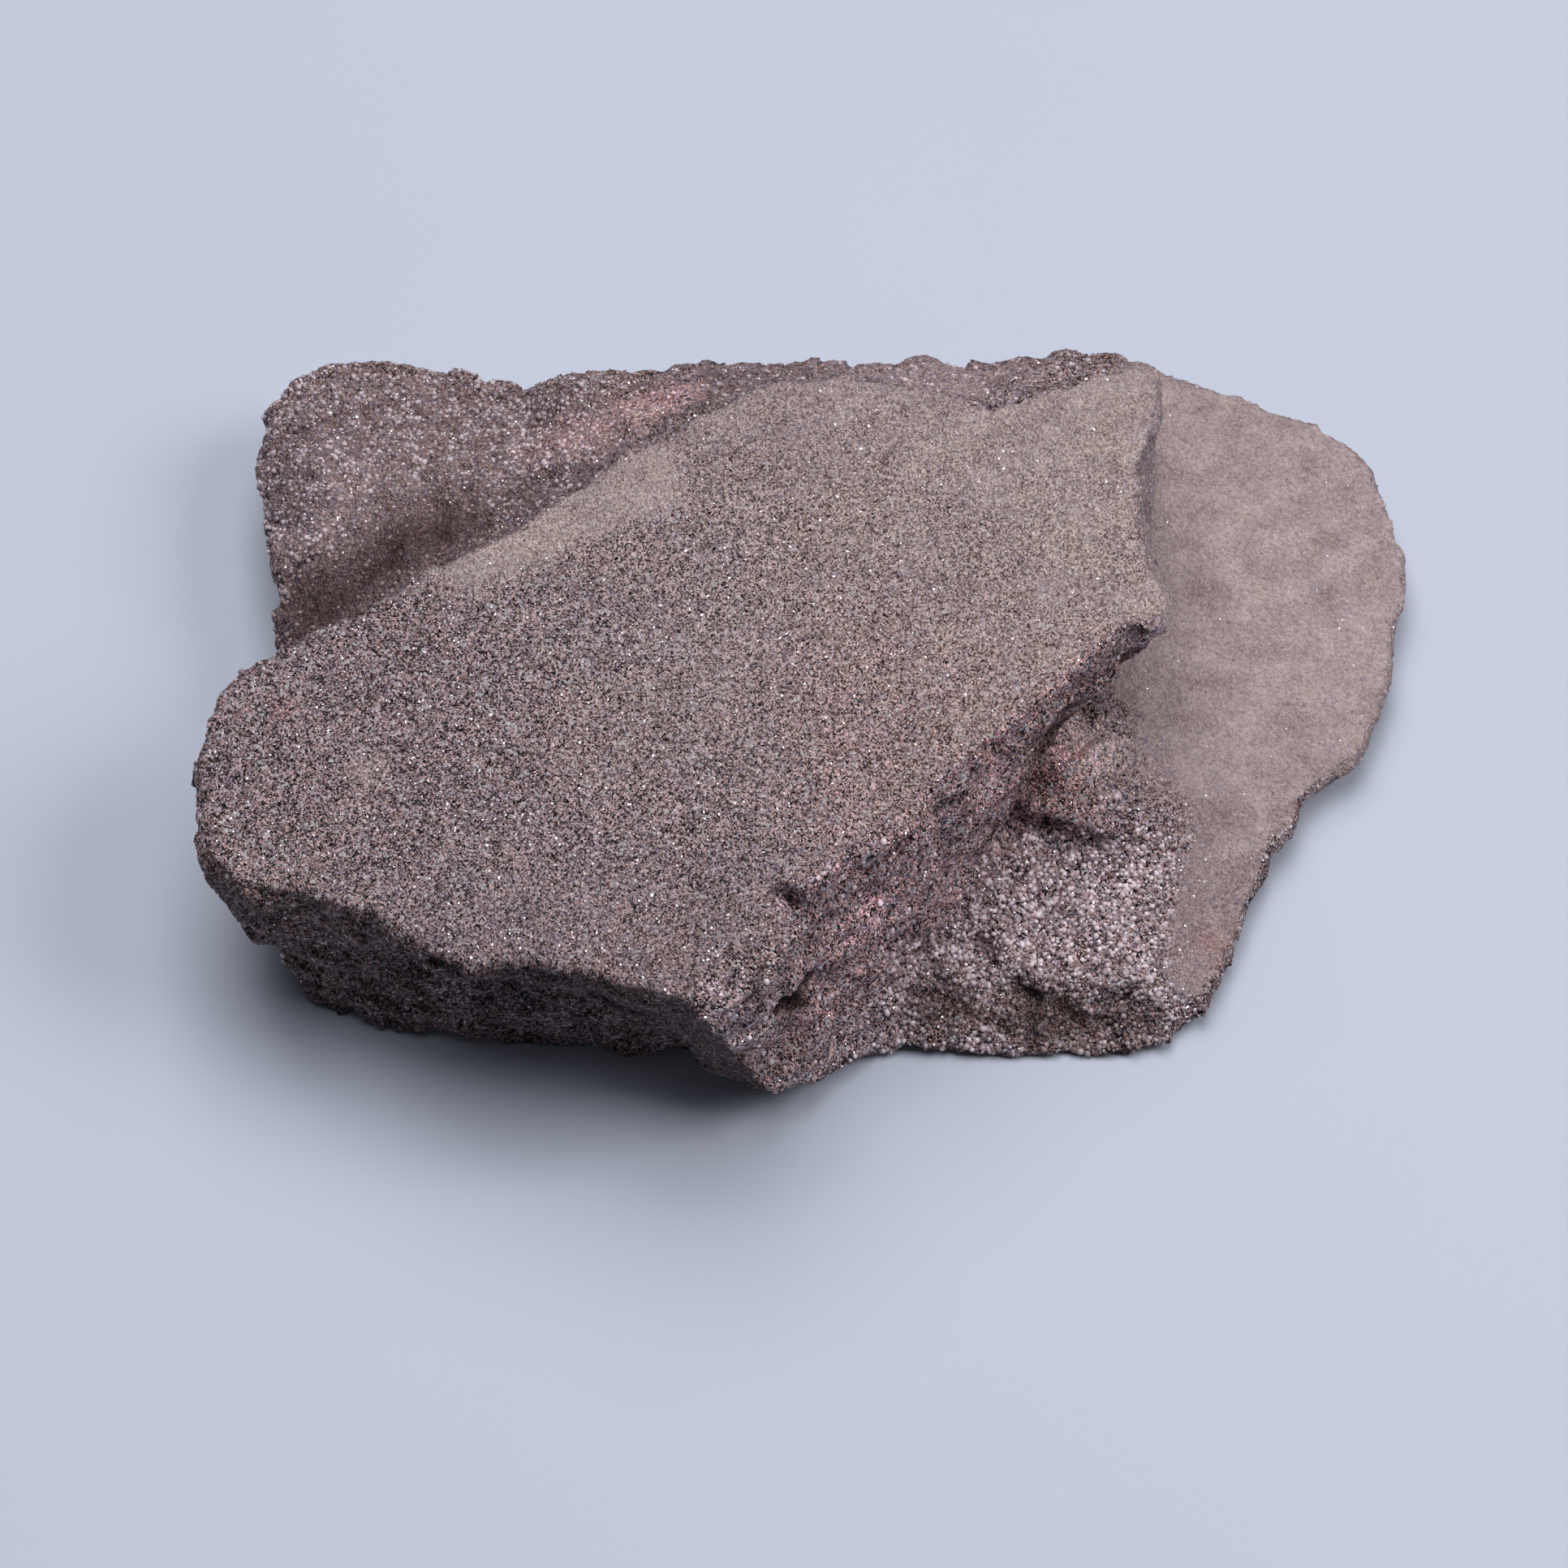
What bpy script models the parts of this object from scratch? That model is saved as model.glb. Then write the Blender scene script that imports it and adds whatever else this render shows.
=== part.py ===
"""Hand specimen of a fine-grained, purple-brown rock, broken to shape on every side.

It is one stone. A thick upper bed, with a flat bedding plane on top, stands on a thin lower bed. The
lower bed shows past it as a smooth ledge on the right and a rough wing at the back left. The upper bed
narrows to a nose at the front, overhangs on both sides of it, and drops as a steep step to the right.

X runs along the longest side, the nose points to -Y, and the stone stands on the plane Z = 0. Outlines
and heights are millimetres, and the finished mesh is in metres.
"""

import bmesh
import bpy
from mathutils import Vector, noise

MM = 0.001
NAME = "rock"

# The two bedding planes: the height at the origin, and the rise for each millimetre along X and Y
UPPER_PLANE = (20.3, 0.093, 0.013)
LOWER_PLANE = (5.1, -0.05, 0.066)

# Upper bed, counterclockwise from the back of its left end. Each row is the edge on the bedding plane
# (x, y), how far the face drops straight down from it, and where the face then meets the lower bed:
# the step sideways (x, y) and the height.
UPPER_BED = (
    # left end
    (-35.0, 0.6, 3.0, 0.0, 1.5, 9.0),
    (-37.6, -0.6, 3.0, 1.0, 1.0, 9.0),
    (-39.0, -2.6, 3.0, 1.5, 0.0, 8.0),
    (-39.8, -6.5, 3.0, 2.0, 0.0, 8.0),
    (-40.0, -11.0, 3.0, 2.0, 0.5, 8.0),
    (-39.4, -15.2, 3.0, 1.2, 0.8, 8.5),
    # front edge, over the undercut face
    (-36.6, -18.2, 5.0, 0.0, 0.8, 8.5),
    (-33.7, -19.1, 4.0, 0.2, 1.5, 9.0),
    (-31.0, -20.0, 3.0, 0.5, 2.0, 9.0),
    (-28.3, -21.2, 2.5, 0.5, 2.8, 9.0),
    (-25.6, -22.8, 2.0, 0.6, 4.0, 9.0),
    (-23.4, -24.7, 1.5, 0.8, 5.2, 9.0),
    (-21.3, -25.2, 1.5, 0.8, 5.4, 9.0),
    (-18.1, -25.0, 1.5, 0.8, 4.6, 9.0),
    (-14.9, -26.3, 1.5, 0.8, 5.2, 8.5),
    (-11.8, -27.3, 1.5, 0.8, 5.2, 8.0),
    (-9.2, -28.6, 1.5, 1.0, 5.4, 6.0),
    (-7.2, -29.6, 1.2, 2.0, 5.2, 3.2),
    # nose, and the step that runs back from it to the right
    (-2.3, -26.9, 6.0, -0.4, 0.2, 3.8),
    (-1.3, -25.2, 5.0, 0.6, -1.0, 3.0),
    (0.2, -23.3, 5.0, 1.3, -1.0, 2.0),
    (-0.9, -21.8, 4.0, 3.8, -0.8, 1.5),
    (0.9, -20.5, 4.0, 3.4, -1.0, 1.5),
    (3.3, -18.3, 4.0, 2.9, -0.8, 3.0),
    (5.9, -17.0, 5.0, 1.4, 0.4, 4.5),
    (8.5, -15.2, 5.0, 1.0, 0.8, 5.5),
    (8.9, -13.2, 6.0, 2.2, 1.2, 6.0),
    (11.0, -11.8, 6.0, 1.2, 1.4, 6.5),
    (12.2, -9.9, 7.0, 0.6, 1.4, 7.0),
    (14.0, -8.6, 7.0, -0.2, 1.6, 8.0),
    # right corner, which overhangs the ledge
    (15.8, -7.2, 7.0, -1.0, 2.2, 9.0),
    (17.4, -5.2, 6.0, -1.2, 3.6, 9.0),
    (20.0, -3.3, 4.5, -2.0, 6.0, 9.0),
    (21.8, -1.3, 3.0, -2.0, 7.5, 9.0),
    (24.4, -0.6, 2.0, -2.5, 8.5, 9.0),
    (24.3, 1.5, 2.0, -2.0, 6.5, 8.0),
    # right side, standing up from the ledge
    (23.6, 4.4, 3.0, -1.0, 4.0, 8.0),
    (22.9, 7.6, 5.0, 0.0, 2.0, 7.5),
    (22.8, 11.2, 6.0, 0.3, 0.0, 7.0),
    (23.7, 14.6, 6.0, 0.3, 0.0, 7.0),
    (24.6, 20.6, 5.0, 0.8, 1.0, 7.0),
    # back, broken away at about 45 degrees
    (22.5, 20.8, 0.5, 1.5, 12.2, 8.2),
    (17.6, 19.6, 0.5, 0.6, 11.6, 10.8),
    (12.8, 17.6, 0.5, 0.2, 12.9, 11.0),
    (10.6, 19.0, 0.5, 0.0, 11.6, 11.0),
    (8.0, 20.3, 0.5, 0.2, 10.4, 11.0),
    (4.2, 21.3, 0.5, 0.4, 8.9, 11.0),
    (-1.4, 21.2, 0.5, 0.2, 9.1, 11.0),
    (-4.5, 20.1, 0.5, -0.5, 10.3, 11.0),
    (-7.0, 18.9, 0.5, -2.0, 11.4, 11.0),
    (-10.3, 16.6, 0.7, -2.5, 4.0, 15.5),
    (-13.6, 14.4, 0.8, -2.0, 3.2, 15.3),
    # straight edge over the wing
    (-17.5, 11.8, 1.2, -1.5, 2.4, 14.5),
    (-21.3, 9.2, 1.5, -1.0, 1.8, 13.0),
    (-25.6, 6.5, 2.0, -0.8, 1.5, 11.5),
    (-29.9, 3.8, 2.0, -0.8, 1.5, 10.0),
)

# Corners chipped off the upper bed: a place on the chip (x, y, z) and the way the chip faces
CHIPS = (
    ((-5.2, -25.8, 19.8), (0.25, -0.62, 0.74)),
    ((-4.2, -28.1, 17.4), (0.42, -0.80, 0.43)),
)

# Foot of the stone under the upper bed: its outline where the upper bed rests on it (x, y) and its
# outline on the table (x, y).
FOOT_TOP = 10.0
FOOT = (
    (-36.5, -13.5, -34.5, -12.0),
    (-36.2, -16.8, -33.0, -16.5),
    (-31.0, -18.3, -30.5, -18.2),
    (-27.5, -19.0, -27.5, -19.2),
    (-24.0, -19.8, -24.0, -19.6),
    (-20.5, -20.2, -20.8, -19.6),
    (-17.5, -20.6, -17.8, -20.3),
    (-14.0, -21.2, -14.0, -20.5),
    (-10.5, -22.0, -10.0, -21.0),
    (-7.0, -21.5, -6.5, -20.5),
    (-2.0, -20.0, -2.0, -18.5),
    (5.0, -16.0, 5.0, -17.0),
    (11.0, -9.0, 13.0, -9.0),
    (15.0, 0.0, 18.0, 0.0),
    (20.0, 9.0, 23.0, 9.0),
    (21.0, 22.0, 23.0, 22.0),
    (14.0, 29.5, 12.0, 26.0),
    (-4.0, 29.5, -4.0, 25.5),
    (-16.0, 26.0, -16.0, 22.0),
    (-30.0, 5.0, -28.0, 10.0),
    (-36.5, 0.5, -33.0, 0.0),
    (-37.0, -6.0, -34.0, -6.0),
)

# Wing at the back left, a rough remnant of the lower bed that rises to the upper one: crest beside the
# upper bed (x, y, z) and rim (x, y, z)
WING = (
    (-33.5, 2.0, 10.0, -35.6, 5.0, 9.2),
    (-32.5, 4.0, 10.3, -36.1, 8.9, 9.0),
    (-31.5, 5.0, 10.8, -36.5, 12.4, 8.8),
    (-30.5, 6.0, 11.2, -37.5, 17.6, 8.8),
    (-29.5, 7.0, 11.6, -38.3, 23.0, 8.9),
    (-28.0, 8.5, 12.0, -38.3, 27.8, 9.0),
    (-26.0, 10.0, 12.5, -36.3, 31.0, 8.9),
    (-24.0, 11.5, 13.0, -33.5, 32.7, 8.8),
    (-22.0, 13.0, 13.8, -30.0, 32.5, 8.8),
    (-20.5, 14.5, 14.3, -26.6, 32.0, 8.8),
    (-19.0, 16.0, 14.6, -22.4, 31.3, 8.8),
    (-18.0, 17.0, 14.9, -19.2, 30.4, 8.9),
    (-16.5, 18.0, 15.1, -16.8, 30.5, 10.6),
    (-14.0, 19.0, 15.6, -13.0, 30.1, 11.0),
    (-10.0, 20.5, 16.0, -7.8, 30.4, 11.0),
    (-4.0, 20.0, 15.0, 0.9, 29.0, 10.5),
    (-8.0, 8.0, 13.0, -8.0, 8.0, 9.0),
    (-20.0, 3.0, 11.0, -20.0, 3.0, 9.0),
)

# Ledge on the right, the lower bed's bedding plane: outline (x, y)
LEDGE = (
    (12.0, -4.0),
    (16.0, -9.0),
    (22.0, -14.0),
    (24.0, -17.9),
    (27.6, -18.2),
    (28.3, -16.4),
    (29.9, -13.8),
    (30.8, -11.0),
    (32.9, -5.6),
    (35.6, -1.4),
    (38.6, 1.1),
    (39.8, 2.8),
    (41.4, 7.4),
    (42.4, 12.4),
    (43.3, 16.4),
    (42.7, 21.0),
    (41.3, 25.8),
    (39.2, 28.9),
    (37.0, 30.2),
    (34.0, 31.1),
    (29.1, 33.1),
    (24.2, 35.2),
    (18.0, 32.0),
    (10.0, 30.5),
    (8.0, 15.0),
)

# Shoulder of broken rock between the ledge and the step: outline (x, y) and height of its top
SHOULDER = (
    (13.0, -3.0, 8.8),
    (14.8, -5.2, 7.6),
    (17.2, -6.6, 7.0),
    (20.5, -5.8, 5.9),
    (23.0, -6.4, 5.0),
    (26.0, -6.8, 4.0),
    (27.5, -3.0, 3.9),
    (26.0, 1.0, 4.3),
    (23.0, 4.0, 6.0),
    (19.0, 6.0, 8.5),
    (13.0, 3.0, 10.0),
)

# Apron of broken rock from there to the table: crest (x, y, z) and toe (x, y, z)
APRON = (
    (3.0, -18.6, 3.8, 2.2, -22.4, 1.5),
    (6.0, -17.4, 3.7, 5.5, -21.6, 1.4),
    (9.2, -16.6, 3.6, 9.5, -21.0, 1.1),
    (12.5, -16.5, 3.5, 13.2, -21.2, 0.9),
    (16.5, -16.6, 3.4, 17.7, -21.5, 0.8),
    (20.5, -16.6, 3.5, 22.2, -21.7, 0.8),
    (23.4, -17.0, 3.5, 24.9, -20.9, 1.0),
    (25.8, -17.8, 2.5, 26.5, -19.5, 1.3),
    (27.2, -17.0, 2.3, 27.7, -18.1, 1.6),
    (24.6, -13.0, 3.9, 25.2, -13.0, 2.4),
    (24.8, -9.0, 4.2, 25.4, -9.0, 3.0),
    (24.5, -5.0, 4.0, 24.5, -5.0, 3.0),
    (19.0, -4.0, 4.3, 19.0, -4.0, 3.3),
    (14.5, -4.5, 4.5, 14.5, -4.5, 3.5),
    (11.5, -8.0, 4.7, 11.5, -8.0, 3.7),
    (8.0, -12.5, 4.5, 8.0, -12.5, 3.5),
    (4.0, -16.0, 4.1, 3.0, -16.0, 3.1),
)

# Places where the surface is pushed in or out: middle (x, y, z), radius of what moves, and the push
PUSHES = (
    # hollow under a lip, low on the step beside the nose
    (0.2, -23.8, 12.6, 2.4, -1.0, 1.1, 0.0),
    (-1.0, -25.6, 8.0, 3.2, -0.9, 1.2, 0.0),
    # deep crevice under the front of the shoulder
    (17.5, -6.8, 5.0, 3.0, 0.0, 1.0, -0.3),
    (14.0, -5.6, 5.4, 2.0, 0.0, 0.6, -0.6),
    # short open crack at the head of the nose, and a nick in the right side
    (-0.6, -21.7, 19.8, 1.5, -0.7, 0.4, -0.8),
    (23.6, 14.3, 20.6, 2.0, -0.9, 0.0, -0.4),
    # swells and hollows of the wing
    (-33.6, 20.5, 9.5, 4.5, 0.0, 0.0, 0.8),
    (-30.4, 12.0, 10.8, 4.5, 0.0, 0.0, -1.0),
    (-24.7, 25.5, 10.4, 3.5, 0.0, 0.0, -0.9),
    (-20.6, 28.0, 9.8, 3.0, 0.0, 0.0, -0.8),
    (-28.5, 20.5, 10.8, 3.5, 0.0, 0.0, 0.8),
    (-24.5, 16.0, 12.4, 3.0, 0.0, 0.0, -0.7),
    (-33.0, 28.5, 9.2, 3.5, 0.0, 0.0, 0.6),
    # gullies of the apron, and the broken back slope
    (11.8, -14.5, 3.8, 2.2, 0.0, 0.0, -0.9),
    (15.2, -18.0, 2.8, 2.4, 0.0, 0.3, -0.9),
    (18.6, -12.5, 3.9, 3.0, 0.0, 0.0, 0.7),
    (18.0, -20.0, 1.6, 2.0, 0.0, 0.4, -0.5),
    (12.2, 24.0, 16.5, 4.0, 0.0, -0.4, -0.7),
    (-12.0, 24.5, 13.6, 4.0, 0.2, -0.3, 0.6),
)

GROUND = -0.15  # mean level of the uneven underside, whose high places are worn flat at Z = 0
TOE_UNDERCUT = 1.0  # how far the apron's toe stands out over the table
RIM = 1.0  # thickness of the thin edge that the lower bed breaks to
RIM_UNDERCUT = 0.84  # size of the lower bed's outline on the table, against its outline on top
HEART = (0.8, 5.0)  # the upper bed's underside, inside the foot: its size against the outline, and height

# The bedding planes are smooth this close to them, on faces this level, and to the right of this X on
# the ledge
BEDDING_REACH = 1.2
LEVEL_FROM = 0.8
LEVEL_TO = 0.95
LEDGE_SMOOTH_FROM = 23.6

# Relief: how far the surface rises and falls, how wide its bumps are, and how much gentler and how many
# are the finer bumps on them
BEDDING_RELIEF = (0.18, 9.0, 0.8, 3)
FRACTURE_RELIEF = (0.65, 5.5, 0.75, 4)
UNDERSIDE_RELIEF = (1.1, 13.0, 0.9, 4)
FINER = 2.1
LAMINA = 0.3  # on the sides, the bumps' height against their width: the layers show as flat streaks

VOXEL = 0.55
SOFTEN = 0.5
SOFTEN_ROUNDS = 3
TRIANGLES = 8800
TABLE_CUTTER = 200.0


def plane_height(plane, x, y):
    height, rise_x, rise_y = plane
    return height + rise_x * x + rise_y * y


def add_bed(stone, rings):
    """Adds one closed body, from rings of points that run counterclockwise, the top ring first."""
    rows = [[stone.verts.new(point) for point in ring] for ring in rings]
    count = len(rows[0])
    for upper, lower in zip(rows, rows[1:]):
        for i in range(count):
            j = (i + 1) % count
            stone.faces.new((upper[i], lower[i], lower[j]))
            stone.faces.new((upper[i], lower[j], upper[j]))
    top = stone.faces.new(rows[0])
    bottom = stone.faces.new(reversed(rows[-1]))
    bmesh.ops.triangulate(stone, faces=[top, bottom])


def chip(stone, verts, place, facing):
    """Cuts off what stands outside a plane, and closes the cut."""
    edges = {edge for vert in verts for edge in vert.link_edges}
    faces = {face for vert in verts for face in vert.link_faces}
    cut = bmesh.ops.bisect_plane(
        stone,
        geom=list(verts) + list(edges) + list(faces),
        plane_co=place,
        plane_no=facing,
        clear_outer=True,
    )
    cut_edges = [item for item in cut["geom_cut"] if isinstance(item, bmesh.types.BMEdge)]
    bmesh.ops.holes_fill(stone, edges=cut_edges)


def shrunk(ring, share, height):
    """A ring's outline drawn in towards its middle, at one height."""
    middle_x = sum(x for x, y, z in ring) / len(ring)
    middle_y = sum(y for x, y, z in ring) / len(ring)
    drawn_in = []
    for x, y, z in ring:
        drawn_in.append((middle_x + (x - middle_x) * share, middle_y + (y - middle_y) * share, height))
    return drawn_in


def add_upper_bed(stone):
    edge = []
    lip = []
    foot = []
    for x, y, drop, step_x, step_y, foot_height in UPPER_BED:
        height = plane_height(UPPER_PLANE, x, y)
        edge.append((x, y, height))
        lip.append((x, y, height - drop))
        foot.append((x + step_x, y + step_y, foot_height))
    earlier = set(stone.verts)
    add_bed(stone, (edge, lip, foot, shrunk(foot, *HEART)))
    for place, facing in CHIPS:
        chip(stone, [vert for vert in stone.verts if vert not in earlier], place, facing)


def add_foot(stone):
    top = [(x, y, FOOT_TOP) for x, y, _, _ in FOOT]
    ground = [(x, y, GROUND) for _, _, x, y in FOOT]
    add_bed(stone, (top, ground))


def add_thin_bed(stone, top):
    """Adds a bed with a thin broken rim, undercut from there down to the table."""
    rim = [(x, y, z - RIM) for x, y, z in top]
    add_bed(stone, (top, rim, shrunk(top, RIM_UNDERCUT, GROUND)))


def add_wing(stone):
    crest = [row[:3] for row in WING]
    rim = [row[3:] for row in WING]
    below = [(x, y, z - RIM) for x, y, z in rim]
    add_bed(stone, (crest, rim, below, shrunk(rim, RIM_UNDERCUT, GROUND)))


def ledge_top():
    return [(x, y, plane_height(LOWER_PLANE, x, y)) for x, y in LEDGE]


def add_apron(stone):
    crest = [row[:3] for row in APRON]
    toe = [row[3:] for row in APRON]
    ground = [(x, y + TOE_UNDERCUT, GROUND) for x, y, _ in toe]
    add_bed(stone, (crest, toe, ground))


def blocked_out():
    """The beds as overlapping closed bodies in one mesh, in metres."""
    stone = bmesh.new()
    add_upper_bed(stone)
    add_foot(stone)
    add_wing(stone)
    add_thin_bed(stone, ledge_top())
    add_thin_bed(stone, SHOULDER)
    add_apron(stone)
    bmesh.ops.scale(stone, vec=(MM, MM, MM), verts=stone.verts)
    bmesh.ops.recalc_face_normals(stone, faces=stone.faces)
    mesh = bpy.data.meshes.new(NAME)
    stone.to_mesh(mesh)
    stone.free()
    return mesh


def finish_with(rock, kind, **settings):
    """Applies one modifier to the rock's mesh."""
    modifier = rock.modifiers.new(kind.title(), kind)
    for setting, value in settings.items():
        setattr(modifier, setting, value)
    evaluated = rock.evaluated_get(bpy.context.evaluated_depsgraph_get())
    mesh = bpy.data.meshes.new_from_object(evaluated)
    rock.modifiers.remove(modifier)
    rock.data = mesh


def bedding_share(point, normal):
    """How far a place belongs to one of the two smooth bedding planes, from 0 to 1."""
    away = abs(point.z - plane_height(UPPER_PLANE, point.x, point.y))
    if point.x > LEDGE_SMOOTH_FROM:
        away = min(away, abs(point.z - plane_height(LOWER_PLANE, point.x, point.y)))
    nearness = 1.0 - away / BEDDING_REACH
    levelness = (normal.z - LEVEL_FROM) / (LEVEL_TO - LEVEL_FROM)
    return min(1.0, max(0.0, nearness)) * min(1.0, max(0.0, levelness))


def bumps(point, kind):
    depth, width, gentler, sizes = kind
    return depth * noise.fractal(point / width, gentler, FINER, sizes)


def relief(point, normal):
    """How far the surface stands out at a place, in millimetres."""
    if normal.z < -LEVEL_FROM and point.z < RIM:
        return bumps(point, UNDERSIDE_RELIEF)
    smooth = bedding_share(point, normal)
    steepness = 1.0 - abs(normal.z)
    squash = 1.0 + (1.0 / LAMINA - 1.0) * steepness
    layered = Vector((point.x, point.y, point.z * squash))
    return bumps(point, BEDDING_RELIEF) * smooth + bumps(layered, FRACTURE_RELIEF) * (1.0 - smooth)


def sculpt(mesh):
    """Pushes and roughens the smooth blocked-out shape."""
    points = [vertex.co / MM for vertex in mesh.vertices]
    normals = [vertex.normal.copy() for vertex in mesh.vertices]
    for vertex, point, normal in zip(mesh.vertices, points, normals):
        moved = point + normal * relief(point, normal)
        for x, y, z, radius, push_x, push_y, push_z in PUSHES:
            distance = (point - Vector((x, y, z))).length / radius
            if distance < 1.0:
                share = (1.0 - distance * distance) ** 2
                moved += Vector((push_x, push_y, push_z)) * share
        vertex.co = moved * MM


def table_cutter():
    """A block under the table's plane, to cut the underside's high places off flat."""
    block = bmesh.new()
    bmesh.ops.create_cube(block, size=TABLE_CUTTER * MM)
    bmesh.ops.translate(block, vec=(0.0, 0.0, -TABLE_CUTTER * MM / 2), verts=block.verts)
    mesh = bpy.data.meshes.new("table_cutter")
    block.to_mesh(mesh)
    block.free()
    cutter = bpy.data.objects.new("table_cutter", mesh)
    cutter.hide_render = True
    cutter.display_type = "WIRE"
    bpy.context.collection.objects.link(cutter)
    return cutter


def centre(mesh):
    """Moves the middle of the stone's box to the origin, along X and Y."""
    for axis in (0, 1):
        places = [vertex.co[axis] for vertex in mesh.vertices]
        middle = (min(places) + max(places)) / 2
        for vertex in mesh.vertices:
            vertex.co[axis] -= middle


def stone_material():
    material = bpy.data.materials.new("purple_brown_rock")
    material.use_nodes = True
    shader = material.node_tree.nodes["Principled BSDF"]
    shader.inputs["Base Color"].default_value = (0.21, 0.15, 0.16, 1.0)
    shader.inputs["Roughness"].default_value = 0.85
    shader.inputs["Metallic"].default_value = 0.0
    return material


def main():
    for old in list(bpy.data.objects):
        bpy.data.objects.remove(old, do_unlink=True)
    rock = bpy.data.objects.new(NAME, blocked_out())
    bpy.context.collection.objects.link(rock)
    finish_with(rock, "REMESH", mode="VOXEL", voxel_size=VOXEL * MM)
    finish_with(rock, "SMOOTH", factor=SOFTEN, iterations=SOFTEN_ROUNDS)
    sculpt(rock.data)
    share_kept = TRIANGLES / (2 * len(rock.data.polygons))
    finish_with(rock, "DECIMATE", ratio=share_kept)
    cutter = table_cutter()
    finish_with(rock, "BOOLEAN", object=cutter, operation="DIFFERENCE", solver="EXACT")
    bpy.data.objects.remove(cutter, do_unlink=True)
    centre(rock.data)
    rock.data.materials.clear()
    rock.data.materials.append(stone_material())


main()
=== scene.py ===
"""Hand specimen of fine-grained, purple-brown rock, lying on a pale table.

The stone is one piece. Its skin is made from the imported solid, worked over to the broken and bedded
faces of the real one, and set with the quartz grains and mica flakes that stand out of them.
"""

import math

import bmesh
import bpy
import numpy as np
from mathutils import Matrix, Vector, noise


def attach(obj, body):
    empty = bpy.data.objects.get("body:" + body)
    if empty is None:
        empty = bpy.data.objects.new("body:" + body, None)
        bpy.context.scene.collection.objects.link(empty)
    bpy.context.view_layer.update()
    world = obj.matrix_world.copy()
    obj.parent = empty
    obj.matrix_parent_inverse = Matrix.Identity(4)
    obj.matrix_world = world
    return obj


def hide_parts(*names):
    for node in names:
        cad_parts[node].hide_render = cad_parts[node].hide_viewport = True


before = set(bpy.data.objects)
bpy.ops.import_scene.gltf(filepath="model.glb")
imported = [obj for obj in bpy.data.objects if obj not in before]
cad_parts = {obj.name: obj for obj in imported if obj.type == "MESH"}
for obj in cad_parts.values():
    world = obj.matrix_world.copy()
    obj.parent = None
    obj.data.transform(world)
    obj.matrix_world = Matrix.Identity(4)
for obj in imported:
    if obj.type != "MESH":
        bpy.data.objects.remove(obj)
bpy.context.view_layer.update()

# ---------------------------------------------------------------------------------------------------
# The stone: a thick bed with a flat top, standing on a thin bed that shows past it as a ledge and as a
# wing. It was broken out of the layers by hammer, so its two bedding planes are smooth and every other
# face is rough, with the layers showing as streaks on the sides.

MM = 0.001
SKIN_FACE = 0.39  # size of the skin's faces

# The bedding planes: height in the middle of the stone, and rise for each millimetre along X and Y
UPPER_BED_TOP = (20.48, 0.093, 0.013)
LEDGE_TOP = (5.21, -0.05, 0.066)
LEDGE_FROM_X = (22.0, 18.5)  # in front of the shoulder, and behind it
SHOULDER_Y = -8.5
BED_FADE = (1.3, 0.3)  # how far from its plane a bed's surface is gone, and how far it is whole
LEVEL = (0.80, 0.95)  # a face counts as bedding between these two cosines of its slope

# Relief: depth, width, share kept by each finer size, and number of sizes
BED_SWELL = (0.07, 6.0, 0.9, 3)
BED_GRAIN = (0.05, 0.9, 0.7, 3)
BROKEN_SWELL = (0.26, 3.6, 0.8, 3)
BROKEN_GRAIN = (0.13, 0.9, 0.75, 3)
FINER = 2.1  # how many times finer each next size is
LAYER_HEIGHT = 0.85
LAYER_DEPTH = 0.62
LAYER_LENGTH = 6.0
LAYER_WAVE = 0.5  # how far the layers follow the faces' swell
LAYER_STEP = 3.7  # between one layer and the next in the noise, so that each is its own
CHIPS = ((0.42, 2.6), (0.20, 1.1))  # slope and width of the flat chips that the faces broke into
CHIP_DEPTH = (-0.7, 0.45)  # how far chips cut in, and stand out
CHIP_STEP = 5.3  # spreads the chips through the noise, so that each tilts its own way

# Cracks and creases: half width, depth, and the places they run through
CRACKS = (
    # at the head of the nose
    (0.55, 1.7, ((-3.2, -23.3, 19.9), (-2.3, -23.8, 19.4), (-1.2, -23.9, 18.0))),
    # under the lip beside the nose
    (1.4, 2.3, ((-2.9, -28.2, 13.2), (-2.1, -27.2, 12.4), (-0.8, -25.4, 11.2))),
    (0.8, 1.2, ((-0.8, -25.6, 11.2), (0.4, -24.0, 9.8))),
    (0.5, 0.6, ((-4.8, -29.4, 18.0), (-4.2, -29.6, 16.5), (-4.0, -29.6, 15.5))),
    # creases of the apron
    (0.7, 0.9, ((10.3, -16.4, 3.6), (11.6, -18.0, 3.4), (14.1, -20.2, 2.7))),
    (0.7, 0.8, ((15.7, -19.6, 3.2), (17.3, -22.5, 1.6))),
    (0.7, 0.8, ((6.5, -20.5, 3.2), (9.5, -21.9, 2.4), (12.0, -22.2, 1.9))),
    (0.6, 0.7, ((19.6, -17.5, 3.4), (20.6, -20.4, 2.3))),
    # crevice between the shoulder and the apron
    (0.7, 0.55, ((13.0, -9.2, 7.6), (14.3, -8.1, 5.5), (16.0, -9.1, 4.3), (19.3, -9.3, 4.3))),
    (0.7, 0.5, ((19.3, -9.3, 4.3), (22.0, -9.6, 4.1), (25.0, -9.5, 4.0))),
    # scratches of the shoulder
    (0.5, 0.55, ((20.5, -4.7, 5.6), (18.2, -6.9, 6.2))),
    (0.45, 0.4, ((17.4, -3.4, 7.0), (19.0, -5.0, 6.4))),
    # nick in the rim over the ledge
    (0.5, 0.6, ((21.6, 13.0, 22.6), (22.6, 12.6, 20.0))),
)
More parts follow.
